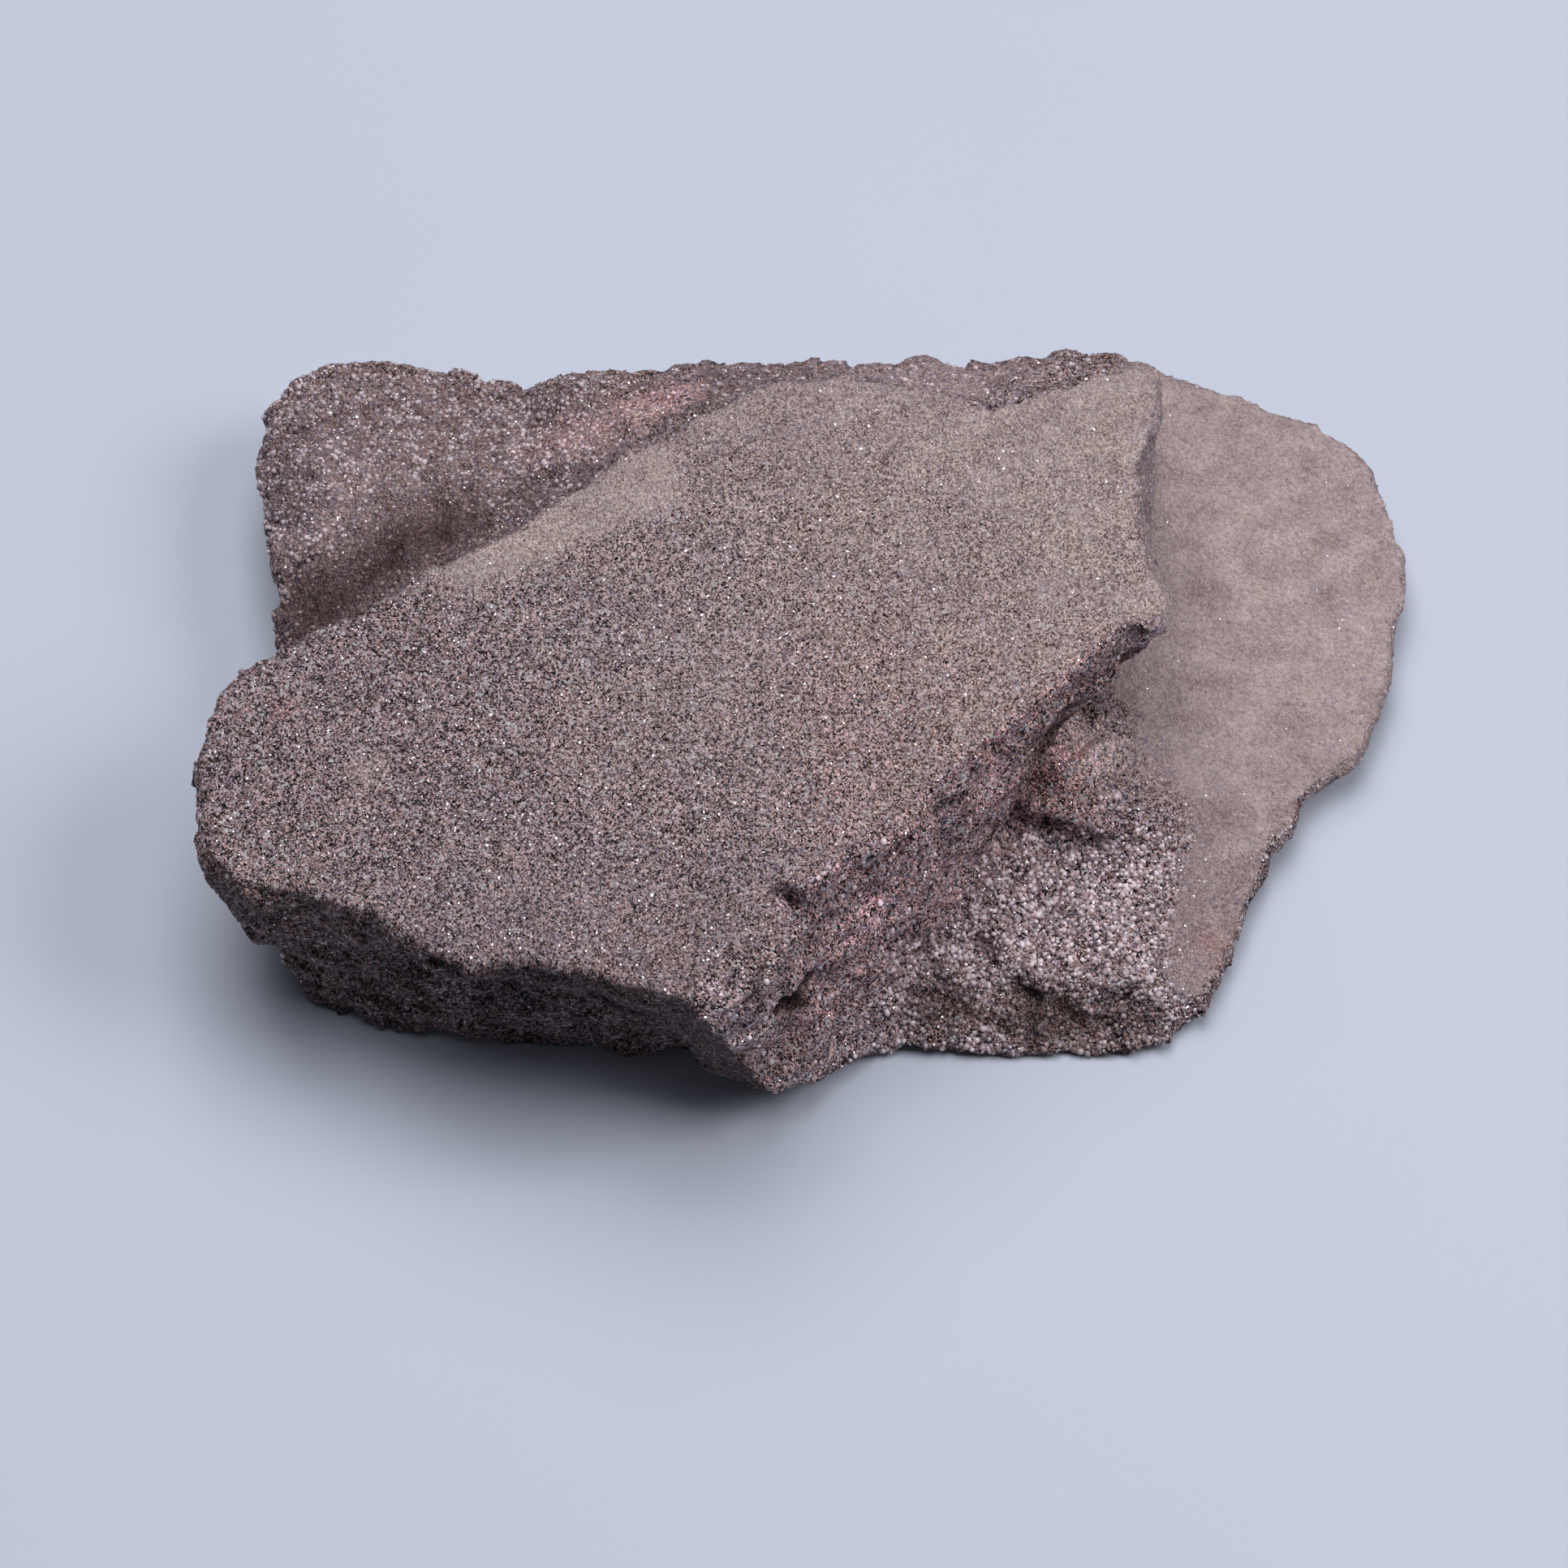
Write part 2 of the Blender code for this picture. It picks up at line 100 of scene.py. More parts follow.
# Where the broken faces are more rugged, or calmer (below 0): place, reach, amount
RUGGED = (
    (15.5, -20.5, 2.5, 5.5, 1.3),
    (22.0, -20.5, 2.0, 4.5, 1.0),
    (8.0, -19.0, 3.5, 4.0, 0.7),
    (14.5, -8.5, 6.0, 4.0, 0.9),
    (18.0, -6.0, 6.5, 4.0, 0.5),
    (-1.0, -26.0, 12.0, 4.0, 0.6),
    (36.0, 4.0, 3.0, 20.0, -0.5),
    (27.0, -15.0, 2.0, 5.0, -0.5),
    (-5.6, -30.6, 13.0, 4.5, -0.6),
)
CRACK_WANDER = (0.45, 0.9)  # how far the cracks stray, and over what width
CRACK_CURVE = 0.7  # below 1, so that the cracks have steep sides and a broad floor
CRACK_FILL = 0.8  # the mean share of their depth, which varies along them
CALMEST = 0.25  # the least relief that a calm place keeps
SPOT_PEAK = 1.3  # how much of its amount each spot adds at its middle, before it fades out
WORN_SHARE = 0.6  # how much of the relief is rubbed off over the ledge

# The sharp arris down the nose, as a slanting cut: everything with x + ARRIS_SLANT * z below ARRIS_AT
# lies on its dark left side. Then a place on that side, its outward way, and the most that is cut off.
ARRIS_SLANT = 0.34
ARRIS_AT = -2.13
ARRIS_FACE = Vector((-5.4, -30.0, 9.6))
ARRIS_OUTWARDS = Vector((-0.36, -0.89, -0.27)).normalized()
ARRIS_CUT = 1.2

RELIEF_SEED = 7  # without it, the chips and the cracks' wander would follow the clock
noise.seed_set(RELIEF_SEED)


def height_over(plane, place):
    middle, rise_x, rise_y = plane
    return place.z - (middle + rise_x * place.x + rise_y * place.y)


def held(value, low=0.0, high=1.0):
    return min(high, max(low, value))


def rise(value, start, end):
    """0 up to the start and 1 from the end, and evenly between them. The end may be the lower one."""
    return held((value - start) / (end - start))


def bedding(place, facing):
    """How far a place belongs to a bedding plane: on the upper one, and on the ledge."""
    level = rise(facing.z, *LEVEL)
    upper = rise(abs(height_over(UPPER_BED_TOP, place)), *BED_FADE)
    front, behind = LEDGE_FROM_X
    from_x = front + (behind - front) * rise(place.y, SHOULDER_Y, SHOULDER_Y + 2.0)
    ledge = rise(abs(height_over(LEDGE_TOP, place)), *BED_FADE)
    ledge *= rise(place.x, from_x, from_x + 2.0)
    return upper * level, ledge * level


def rough(place, kind):
    depth, width, kept, sizes = kind
    return depth * noise.fractal(place / width, kept, FINER, sizes)


def summed(spots, place):
    """The spots' amounts at a place, each fading out towards its reach."""
    total = 0.0
    for x, y, z, reach, amount in spots:
        away = (place - Vector((x, y, z))).length / reach
        if away < 1.0:
            total += amount * (1.0 - away * away) ** 2 * SPOT_PEAK
    return total


def facets(place, slope, width):
    """Flat chips of one width, each tilted its own way."""
    spot = place / width
    nearest = noise.voronoi(spot)[1][0]
    return slope * width * (spot - nearest).dot(noise.noise_vector(nearest * CHIP_STEP))


def over_ledge(place):
    """The worn right side, where the upper bed's rim and the ledge were rubbed smooth."""
    return rise(place.x, 20.0, 22.0) * rise(place.y, -8.0, -1.0)


def left_of_arris(place):
    """The nose's left side, which the dark front face runs on to."""
    past = ARRIS_AT - place.x - ARRIS_SLANT * place.z
    return rise(past, -0.15, 0.15) * rise(place.y, -25.5, -27.0)


def relief(place, facing):
    """How far the skin stands out at a place, in millimetres."""
    smooth = held(sum(bedding(place, facing)))
    bed = rough(place, BED_SWELL) + rough(place, BED_GRAIN)
    if smooth == 1.0:
        return bed
    steep = 1.0 - abs(facing.z)
    swell = rough(place, BROKEN_SWELL)
    grain = rough(place, BROKEN_GRAIN)
    layer = math.floor((height_over(UPPER_BED_TOP, place) + LAYER_WAVE * swell) / LAYER_HEIGHT)
    along = Vector((place.x / LAYER_LENGTH, place.y / LAYER_LENGTH, LAYER_STEP * layer))
    streak = LAYER_DEPTH * steep * noise.noise(along)
    chipped = held(sum(facets(place, slope, width) for slope, width in CHIPS), *CHIP_DEPTH)
    worn = WORN_SHARE * over_ledge(place)
    rugged = max(CALMEST, 1.0 + summed(RUGGED, place) - worn)
    broken = (swell + chipped) * rugged + (grain + streak) * (1.0 - worn)
    return bed * smooth + broken * (1.0 - smooth)


def crack_depth(place):
    """How deep the cracks cut in at a place, in millimetres."""
    deepest = 0.0
    wander, width = CRACK_WANDER
    strayed = place + wander * noise.noise_vector(place / width)
    for half_width, depth, route in CRACKS:
        for start, end in zip(route, route[1:]):
            start = Vector(start)
            run = Vector(end) - start
            share = held((strayed - start).dot(run) / run.length_squared)
            away = (strayed - start - run * share).length / half_width
            if away < 1.0:
                deepest = max(deepest, depth * (1.0 - away) ** CRACK_CURVE)
    return deepest * held(CRACK_FILL + noise.noise(place / width))


def finished_with(piece, kind, **settings):
    """Applies one modifier to a piece's mesh."""
    modifier = piece.modifiers.new(kind.lower(), kind)
    for setting, value in settings.items():
        setattr(modifier, setting, value)
    seen = piece.evaluated_get(bpy.context.evaluated_depsgraph_get())
    mesh = bpy.data.meshes.new_from_object(seen)
    piece.modifiers.remove(modifier)
    piece.data = mesh


shape = bmesh.new()
shape.from_mesh(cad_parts["rock"].data)
bmesh.ops.remove_doubles(shape, verts=shape.verts, dist=0.001 * MM)
blank = bpy.data.meshes.new("stone")
shape.to_mesh(blank)
shape.free()
stone = bpy.data.objects.new("stone", blank)
bpy.context.scene.collection.objects.link(stone)
finished_with(stone, "REMESH", mode="VOXEL", voxel_size=SKIN_FACE * MM)
finished_with(stone, "SMOOTH", factor=0.5, iterations=1)

places = [vertex.co / MM for vertex in stone.data.vertices]
facings = [vertex.normal.copy() for vertex in stone.data.vertices]
for vertex, place, facing in zip(stone.data.vertices, places, facings):
    moved = place + facing * (relief(place, facing) - crack_depth(place))
    beyond = (moved - ARRIS_FACE).dot(ARRIS_OUTWARDS) * left_of_arris(place) * rise(place.x, -12.5, -9.5)
    moved -= ARRIS_OUTWARDS * held(beyond, 0.0, ARRIS_CUT)
    moved.z = max(moved.z, 0.0)
    vertex.co = moved * MM

# How thick dust lies on the upper bed: in its middle, and its growth for each millimetre along X and Y.
# Then patches of more dust: two ends (x, y), reach, amount.
DUST_SLOPE = (0.50, 0.0165, 0.014)
DUST = (
    (-24.0, 4.6, -13.0, 10.6, 4.2, 0.9),
    (-14.0, -12.0, -8.0, -6.0, 7.0, 0.2),
    (-30.4, -12.4, -30.0, -12.2, 2.0, 0.7),
    (-14.0, -24.0, -20.0, -20.0, 6.0, 0.15),
)
DUST_EDGE = 1.5  # how firmly the patches end: 1 fades them from their middle
LEDGE_DUST = 1.0
LEDGE_THINNING = 0.45  # towards the front
# Dust on the broken faces: place, reach, amount
RUBBED = (
    (19.0, -3.5, 6.8, 5.0, 0.7),
    (27.0, -15.0, 2.0, 5.0, 0.6),
    (20.5, -3.0, 21.0, 3.0, 0.4),
    (-6.0, -29.0, 18.5, 3.0, 0.3),
    (-29.0, 14.0, 12.0, 12.0, 0.25),
    (-14.0, 19.5, 15.0, 7.0, 0.35),
    (8.0, 22.0, 17.0, 12.0, 0.4),
)
RUBBED_SIDE = 0.9
# Where the rock is redder: place, reach, amount
BLUSH = (
    (-12.0, 20.5, 14.8, 6.5, 0.65),
    (-17.5, 18.5, 13.5, 5.5, 0.45),
    (26.5, -16.5, 2.5, 2.6, 0.8),
    (16.5, -5.0, 7.5, 4.5, 0.5),
    (24.0, -4.0, 4.0, 4.0, 0.3),
    (-36.0, -7.0, 17.0, 1.5, 0.5),
)
# Where the rock is paler (above 0) or darker (below 0) than elsewhere, in its own colour and with
# painted
# light and painted shade: place, reach, amount
PALENESS_AND_PAINTED_LIGHT = (
    # wing: its paler top and the band along its back, and painted shade along its foot by the ridge,
    # where the upper bed shades it
    (-33.0, 15.0, 11.0, 8.0, 0.18),
    (-18.0, 18.0, 13.5, 6.0, 0.3),
    (-11.0, 20.5, 15.0, 5.0, 0.6),
    (10.0, 22.0, 17.0, 10.0, 0.35),
    (-36.0, 6.0, 10.0, 7.0, -0.4),
    (-28.0, 11.5, 12.0, 7.0, -0.42),
    (-32.0, 9.0, 11.0, 6.0, -0.3),
    (-25.0, 12.0, 12.5, 4.0, -0.15),
    (-20.5, 13.5, 14.0, 3.0, -0.25),
    # face on the right: painted light along its middle, where it faces the right window; darker near its
    # corner; painted shade in the hollow under the lip beside the nose
    (3.8, -20.3, 12.8, 5.0, 0.75),
    (11.3, -12.1, 16.6, 3.5, 0.6),
    (18.7, -5.6, 19.5, 4.0, -0.4),
    (-1.1, -26.2, 11.4, 2.1, -1.3),
    (15.0, -8.8, 17.0, 4.4, -0.8),
    # nose: painted light on its facet and its lower end, which face the right window
    (-6.3, -30.0, 18.1, 3.0, 0.55),
    (-5.4, -30.4, 12.0, 3.2, 1.0),
    # shoulder, its smooth facet, and the crevice under it
    (18.2, -3.9, 7.3, 4.5, 0.85),
    (15.3, -6.2, 7.7, 2.4, -0.5),
    (14.0, -9.5, 6.0, 3.0, 0.5),
    (21.0, -9.5, 4.2, 2.0, 0.0),
    # apron: pale and coarse above, and painted shade along its lower edge, which slopes down to the
    # front
    (17.5, -13.9, 4.3, 6.0, 0.06),
    (10.0, -15.0, 4.3, 5.5, -0.03),
    (8.0, -21.5, 2.5, 5.0, -0.6),
    (14.5, -22.0, 2.0, 5.0, -0.8),
    (20.0, -22.0, 1.7, 5.0, -0.62),
    (24.0, -21.5, 1.5, 4.0, -0.25),
)
PAINTED_SHADE_SIDE = -0.46  # painted shade on faces turned from the lamps: the face on the left of the nose, and the underside
FRONT_FACE = 0.42  # paler: the face on the right and what lies at its foot, partly their own pale grain and partly painted light where they face the right window
FRONT_BLUSH = 0.36  # and how much redder these are
ARRIS_SHADE = 1.35  # how much of that painted shade lies beside the arris
CRACK_SHADE = 0.65  # painted shade in the cracks, for each millimetre of their depth
DARKEST = -0.75
DARKEST_CRACK = -0.88
# Where the grains are worn and even: place, reach, amount
WORN = (
    (-28.0, 14.0, 12.0, 24.0, 1.0),
    (2.0, 24.0, 15.0, 20.0, 1.0),
)
WORN_LEDGE = 0.85
MOST_WORN = 0.75  # of the wing and the back
WORN_ENDS = 0.45  # the front and the back of the upper bed


def rubbed_side(place, facing):
    """The worn right side, but not its underside."""
    return over_ledge(place) * rise(facing.z, -2 / 3, -1 / 3)


def dust_on(place, facing):
    upper, ledge = bedding(place, facing)
    middle, grow_x, grow_y = DUST_SLOPE
    thickness = held(middle + grow_x * place.x + grow_y * place.y)
    flat = Vector((place.x, place.y))
    for x0, y0, x1, y1, reach, amount in DUST:
        start = Vector((x0, y0))
        run = Vector((x1, y1)) - start
        share = held((flat - start).dot(run) / run.length_squared)
        away = (flat - start - run * share).length / reach
        thickness += amount * held(DUST_EDGE - DUST_EDGE * away)
    rubbed = held(max(summed(RUBBED, place), RUBBED_SIDE * rubbed_side(place, facing)))
    on_ledge = LEDGE_DUST - LEDGE_THINNING * rise(place.y, -4.0, -12.0)
    return upper * held(thickness) + ledge * on_ledge + rubbed * (1.0 - upper - ledge)


# Paler and darker places, with painted shade on faces turned down or away from the lamps and in the
# cracks, and painted light on the faces towards the right
def paleness_and_painted_light(place, facing):
    left_side = rise(facing.x, 0.125, -0.125) * rise(facing.y, -0.16, -0.56) * rise(place.x, -2.0, -4.0)
    left_side = max(left_side, ARRIS_SHADE * left_of_arris(place) * rise(facing.z, 0.5, 1 / 6))
    under = rise(facing.z, 0.0, -0.5)
    shaded = max(left_side, under)
    front = rise(place.x, -6.0, -2.0) * rise(place.y, 1.0, -4.0) * (1.0 - shaded)
    front *= rise(place.x, 26.0, 24.75)
    total = summed(PALENESS_AND_PAINTED_LIGHT, place) * (1.0 - held(left_side)) + PAINTED_SHADE_SIDE * shaded + FRONT_FACE * front
    return max(DARKEST_CRACK, max(DARKEST, total) - CRACK_SHADE * crack_depth(place))


def redness(place):
    front = rise(place.x, -4.0, 0.0) * rise(place.y, 1.0, -4.0) * rise(place.x, 27.0, 25.0)
    return summed(BLUSH, place) + FRONT_BLUSH * front * rise(place.z, 4.5, 7.0)


def wear(place, facing):
    upper, ledge = bedding(place, facing)
    ends = max(rise(place.y, -19.0, -29.0), rise(place.y, 8.0, 18.0))
    total = WORN_ENDS * ends * upper + held(summed(WORN, place), 0.0, MOST_WORN) * (1.0 - upper)
    return held(total + WORN_LEDGE * max(ledge, rubbed_side(place, facing) * (1.0 - upper)))


def spread(piece, name, values):
    """Keeps one number for each point of a piece, for its material to read."""
    layer = piece.data.attributes.new(name, "FLOAT", "POINT")
    layer.data.foreach_set("value", np.array(values, dtype=np.float32))


painted = list(zip(places, facings))
bed_values = [held(sum(bedding(place, facing))) for place, facing in painted]
pale_and_painted_light_values = [paleness_and_painted_light(place, facing) for place, facing in painted]
spread(stone, "dust", [dust_on(place, facing) for place, facing in painted])
spread(stone, "blush", [redness(place) for place in places])
spread(stone, "worn", [wear(place, facing) for place, facing in painted])
# "pale" keeps the rock's paler and darker places together with the painted light and painted shade
spread(stone, "pale", [pale * (1.0 - bed) for pale, bed in zip(pale_and_painted_light_values, bed_values)])
spread(stone, "bed", bed_values)
spread(stone, "side", [1.0 - abs(facing.z) for facing in facings])


class Amount:
    """A value in a material, which Python's signs can work on."""

    def __init__(self, finish, socket):
        self.finish = finish
        self.socket = socket

    def worked(self, operation, first, second):
        return self.finish.node("ShaderNodeMath", {0: first, 1: second}, operation=operation)

    def __add__(self, other):
        return self.worked("ADD", self, other)

    def __sub__(self, other):
        return self.worked("SUBTRACT", self, other)

    def __mul__(self, other):
        return self.worked("MULTIPLY", self, other)

    def __truediv__(self, other):
        return self.worked("DIVIDE", self, other)

    def __pow__(self, other):
        return self.worked("POWER", self, other)

    def __gt__(self, other):
        return self.worked("GREATER_THAN", self, other)

    def __lt__(self, other):
        return self.worked("LESS_THAN", self, other)

    def __rsub__(self, other):
        return self.worked("SUBTRACT", other, self)

    __radd__ = __add__
    __rmul__ = __mul__

    def clamped(self):
        return self.finish.node("ShaderNodeClamp", {"Value": self})


class Finish:
    """One material, and the shader that its nodes feed."""

    def __init__(self, name, **shader_values):
        self.material = bpy.data.materials.new(name)
        self.material.use_nodes = True
        self.tree = self.material.node_tree
        self.shader = self.tree.nodes["Principled BSDF"]
        for socket, value in shader_values.items():
            self.shader.inputs[socket.replace("_", " ")].default_value = value

    def put(self, socket, value):
        if isinstance(value, Amount):
            self.tree.links.new(value.socket, socket)
        else:
            socket.default_value = value

    def node(self, kind, sockets, output=0, **settings):
        made = self.tree.nodes.new(kind)
        for setting, value in settings.items():
            setattr(made, setting, value)
        for name, value in sockets.items():
            self.put(made.inputs[name], value)
        return Amount(self, made.outputs[output])

    def kept(self, name):
        """A number kept for each point of the piece."""
        return self.node("ShaderNodeAttribute", {}, output="Fac", attribute_name=name)

    def levelled(self, colour, value, redder):
        """A colour at another brightness, and redder where that is low."""
        low = value.clamped()
        green_share, blue_share = redder
        sockets = {0: value, 1: value * low**green_share, 2: value * low**blue_share}
        return self.blend(1.0, colour, self.node("ShaderNodeCombineColor", sockets), "MULTIPLY")

    def blend(self, share, first, second, how="MIX"):
        sockets = {0: share, 6: first, 7: second}
        return self.node("ShaderNodeMix", sockets, output=2, data_type="RGBA", blend_type=how)

    def feed(self, **sockets):
        for name, value in sockets.items():
            self.put(self.shader.inputs[name.replace("_", " ")], value)


# Colours of the rock: its plain mauve, the bluish grey of fresh patches, where it is redder, where dust
# lies on it, the painted shade of the gaps between grains, and the palest grains, partly pale quartz and
# partly painted glints
MAUVE = (0.327, 0.215, 0.213, 1.0)
GREY = (0.272, 0.198, 0.232, 1.0)
BLUSHED = (0.440, 0.214, 0.206, 1.0)
DUSTY = (0.542, 0.436, 0.426, 1.0)
KHAKI = (0.534, 0.442, 0.397, 1.0)
ROSY = (0.520, 0.402, 0.420, 1.0)
GAP_SHADE = (0.038, 0.027, 0.031, 1.0)
PALE_GRAIN_AND_GLINT = (0.72, 0.69, 0.73, 1.0)
WARM_GRAIN = (0.37, 0.260, 0.225, 1.0)
COOL_GRAIN = (0.23, 0.185, 0.262, 1.0)
DARK_REDDER = (0.16, 0.22)  # how much green and blue fall behind where the rock is dark

# Widths of the patterns, in millimetres
BROAD = 13.0
MOTTLE = 4.5
PATCH = 2.6
BUMPY = 1.2
SPECK = 0.55
COARSE_GRAIN = 0.528
GRAIN = 0.24
GAP_WIDTH = 0.19
FINE_GRAIN = 0.1056
GRAIN_LIE = math.radians(-39)  # the way the flat grains lie in the bedding, along which the gaps' painted shade is drawn out
GRAIN_STRETCH = 2.4
WOBBLE = 0.17  # how far the grains' borders stray, and over what width
WOBBLE_WIDTH = 0.22
BEDDING_UP = (-UPPER_BED_TOP[1], -UPPER_BED_TOP[2], 1.0)
STREAK_SQUEEZE = (0.12, 1.2)  # along the bedding, and through it
BUMP_HEIGHT = 0.20

rock = Finish("fine_purple_brown_rock", Roughness=0.8, Specular_IOR_Level=0.25)
at = rock.node("ShaderNodeTexCoord", {}, output="Object")


def cloudy(width, sizes=3.0, where=at):
    """Soft noise with bumps of one width, in millimetres."""
    sockets = {"Vector": where, "Scale": 1.0 / (width * MM), "Detail": sizes, "Roughness": 0.6}
    return rock.node("ShaderNodeTexNoise", sockets)


def cells(width, output):
    """Cells like packed grains of one width, in millimetres."""
    sockets = {"Vector": strayed, "Scale": 1.0 / (width * MM)}
    return rock.node("ShaderNodeTexVoronoi", sockets, output=output)


def parts(value):
    """The three numbers that make up a colour or a place."""
    split = rock.node("ShaderNodeSeparateColor", {"Color": value})
    return [Amount(rock, socket) for socket in split.socket.node.outputs]


dust = rock.kept("dust")
blush = rock.kept("blush")
pale_and_painted_light = rock.kept("pale")
bed = rock.kept("bed")
side = rock.kept("side")
worn = rock.kept("worn")

# Places that stray a little, so that the cells' borders aren't straight
sockets = {"Vector": at, "Scale": 1.0 / (WOBBLE_WIDTH * MM), "Detail": 1.0}
wobble = rock.node("ShaderNodeTexNoise", sockets, output="Color")
wobble = rock.node("ShaderNodeVectorMath", {0: wobble, 1: (0.5, 0.5, 0.5)}, operation="SUBTRACT")
wobble = rock.node("ShaderNodeVectorMath", {0: wobble, "Scale": WOBBLE * MM}, operation="SCALE")
strayed = rock.node("ShaderNodeVectorMath", {0: at, 1: wobble}, operation="ADD")

# Grains: by chance, each is paler or darker, warmer or cooler. The gaps, which are both shallow relief
# and painted shade, lie along the flat grains.
sockets = {"Vector": at, "Rotation": (0.0, 0.0, GRAIN_LIE), "Scale": (GRAIN_STRETCH, 1.0, 1.0)}
lying = rock.node("ShaderNodeMapping", sockets, vector_type="TEXTURE")
gaps = cloudy(GAP_WIDTH, 1.0, lying)
luck, tone, warmth = parts(cells(GRAIN, "Color"))
big_tone = parts(cells(COARSE_GRAIN, "Color"))[1]
fine_luck, fine_tone = parts(cells(FINE_GRAIN, "Color"))[:2]
roundness = 1.0 - 1.6 * cells(GRAIN, "Distance")

# Streaks of the sides, drawn out along the bedding
axes = [rock.node("ShaderNodeSeparateXYZ", {"Vector": at}, output=axis) for axis in ("X", "Y")]
sockets = {0: at, 1: BEDDING_UP}
level = rock.node("ShaderNodeVectorMath", sockets, operation="DOT_PRODUCT", output="Value")
along, through = STREAK_SQUEEZE
sockets = {"X": along * axes[0], "Y": along * axes[1], "Z": through * level}
streak = cloudy(SPECK, 3.0, rock.node("ShaderNodeCombineXYZ", sockets))

# How thick the dust lies, where it is mottled, and where the rock shows fresh
broad = cloudy(BROAD)
patch = cloudy(PATCH)
speck = cloudy(SPECK, 2.0)
thick = (dust * (0.45 + 1.1 * patch)).clamped()
mottled = ((cloudy(MOTTLE) - 0.5) * 2.2 + 0.3).clamped()
fresh = ((patch - 0.47) * 4.0 + 0.65 + (speck - 0.5) * 1.2).clamped()
fresh = (fresh * (1.0 - 0.75 * thick) + 0.6 * (1.0 - bed)).clamped()

# The rock's hue, then the dust's over it, then single warm and cool grains
colour = rock.blend(((broad - 0.5) * 2.5 + 0.35).clamped(), MAUVE, GREY)
colour = rock.blend(0.45 * fresh * bed, colour, GREY)
colour = rock.blend((blush * (0.7 + 0.6 * patch)).clamped(), colour, BLUSHED)
dusty = rock.blend(mottled * 0.8, DUSTY, KHAKI)
dusty = rock.blend(mottled * mottled * 0.16, dusty, BLUSHED)
dusty = rock.blend((0.7 - mottled).clamped() * 0.42, dusty, GREY)
dusty = rock.blend(worn * 0.6, dusty, ROSY)
colour = rock.blend(thick, colour, dusty)
mixed = 0.22 + 0.5 * fresh
colour = rock.blend((warmth > 0.80) * mixed * 0.8, colour, WARM_GRAIN)
colour = rock.blend((warmth < 0.24) * mixed, colour, COOL_GRAIN)

# Brightness: grains of three sizes, specks, patches and streaks, calmer where dusty or worn
even = 1.0 - 0.75 * worn
contrast = (0.25 + 0.75 * fresh) * (1.0 - 0.6 * thick) * even
shade = 1.0 + contrast * (1.3 - 0.45 * bed) * (tone - 0.5)
shade = shade + contrast * (0.8 - 0.5 * bed) * (big_tone - 0.5)
shade = shade + (3.4 - 2.4 * thick) * even * (fine_tone - 0.5)
shade = shade + 0.35 * (speck - 0.5) + (0.5 + 0.6 * thick * worn) * (patch - 0.5)
shade = shade + side * (1.0 - bed) * (1.0 - 0.8 * thick) * 2.4 * (streak - 0.5)
# Then the painted light and painted shade that "pale" keeps, with the rock's paler and darker places
colour = rock.levelled(colour, shade * (1.0 + pale_and_painted_light), DARK_REDDER)

# Painted shade in the gaps between the grains, and the palest grains, which are partly pale quartz and
# partly painted glints
gap_shade = ((0.40 + 0.05 * fresh - gaps) * 14.0).clamped() * (0.35 + 0.65 * fresh)
colour = rock.blend(gap_shade * (1.0 - 0.65 * thick) * even, colour, GAP_SHADE)
pale = (luck > 0.975 - 0.09 * fresh) * 0.75 * (1.0 - 0.7 * thick) * even
pale = (pale + (fine_luck > 0.965) * 0.8 * (1.0 - 0.6 * thick) * even).clamped()
colour = rock.blend(pale * (1.0 + 1.3 * pale_and_painted_light).clamped(), colour, PALE_GRAIN_AND_GLINT)

# Relief too fine for the mesh
surface = 0.8 * roundness * (0.3 + 0.7 * fresh) + 0.7 * gaps + 0.35 * fine_tone
surface = surface + 0.8 * speck + 0.7 * cloudy(BUMPY)
surface = surface + 0.5 * big_tone * fresh * (1.0 - bed)
bump = rock.node("ShaderNodeBump", {"Strength": 1.0, "Distance": BUMP_HEIGHT * MM, "Height": surface})
rock.feed(Base_Color=colour, Roughness=0.85 - 0.5 * pale, Normal=bump)

stone.data.materials.clear()
stone.data.materials.append(rock.material)
stone.data.shade_smooth()
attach(stone, "root")
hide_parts("rock")

# ---------------------------------------------------------------------------------------------------
# Sand grains and mica flakes: the stone is a fine sand of clear, grey and rosy quartz held by darker
# cement, with flakes of mica. Where it broke, whole grains stand out of the faces and glint. They are
# part of the stone and never come loose.

GRAIN_SEED = 7
chance = np.random.default_rng(GRAIN_SEED)
KINDS = 8  # different shapes of each sort of grain
UNEVENNESS = 0.25
SMALL_ONES = (1.5, 3.5)  # small grains are more common than large ones
EVEN_WHERE_WORN = 0.6  # how much more alike the grains look there

stone.data.calc_loop_triangles()
corner_of = np.empty(len(stone.data.loop_triangles) * 3, dtype=np.int32)
stone.data.loop_triangles.foreach_get("vertices", corner_of)
corner_of = corner_of.reshape(-1, 3)
skin = np.empty(len(stone.data.vertices) * 3, dtype=np.float32)
stone.data.vertices.foreach_get("co", skin)
corners = (skin.reshape(-1, 3) / MM)[corner_of]
across = np.cross(corners[:, 1] - corners[:, 0], corners[:, 2] - corners[:, 0])
areas = np.linalg.norm(across, axis=1) / 2
outward = across / np.maximum(2 * areas, 1e-12)[:, None]


def painted_on(name):
    """A number kept for each point of the stone, as the mean of each triangle."""
    values = np.empty(len(stone.data.vertices), dtype=np.float32)
    stone.data.attributes[name].data.foreach_get("value", values)
    return values[corner_of].mean(axis=1)


bed_share = painted_on("bed")
dust_share = painted_on("dust")
pale_and_painted_light = painted_on("pale")
blush_share = painted_on("blush")
worn_share = painted_on("worn")


def fade(value, start, end):
    return np.clip((value - start) / (end - start), 0.0, 1.0)


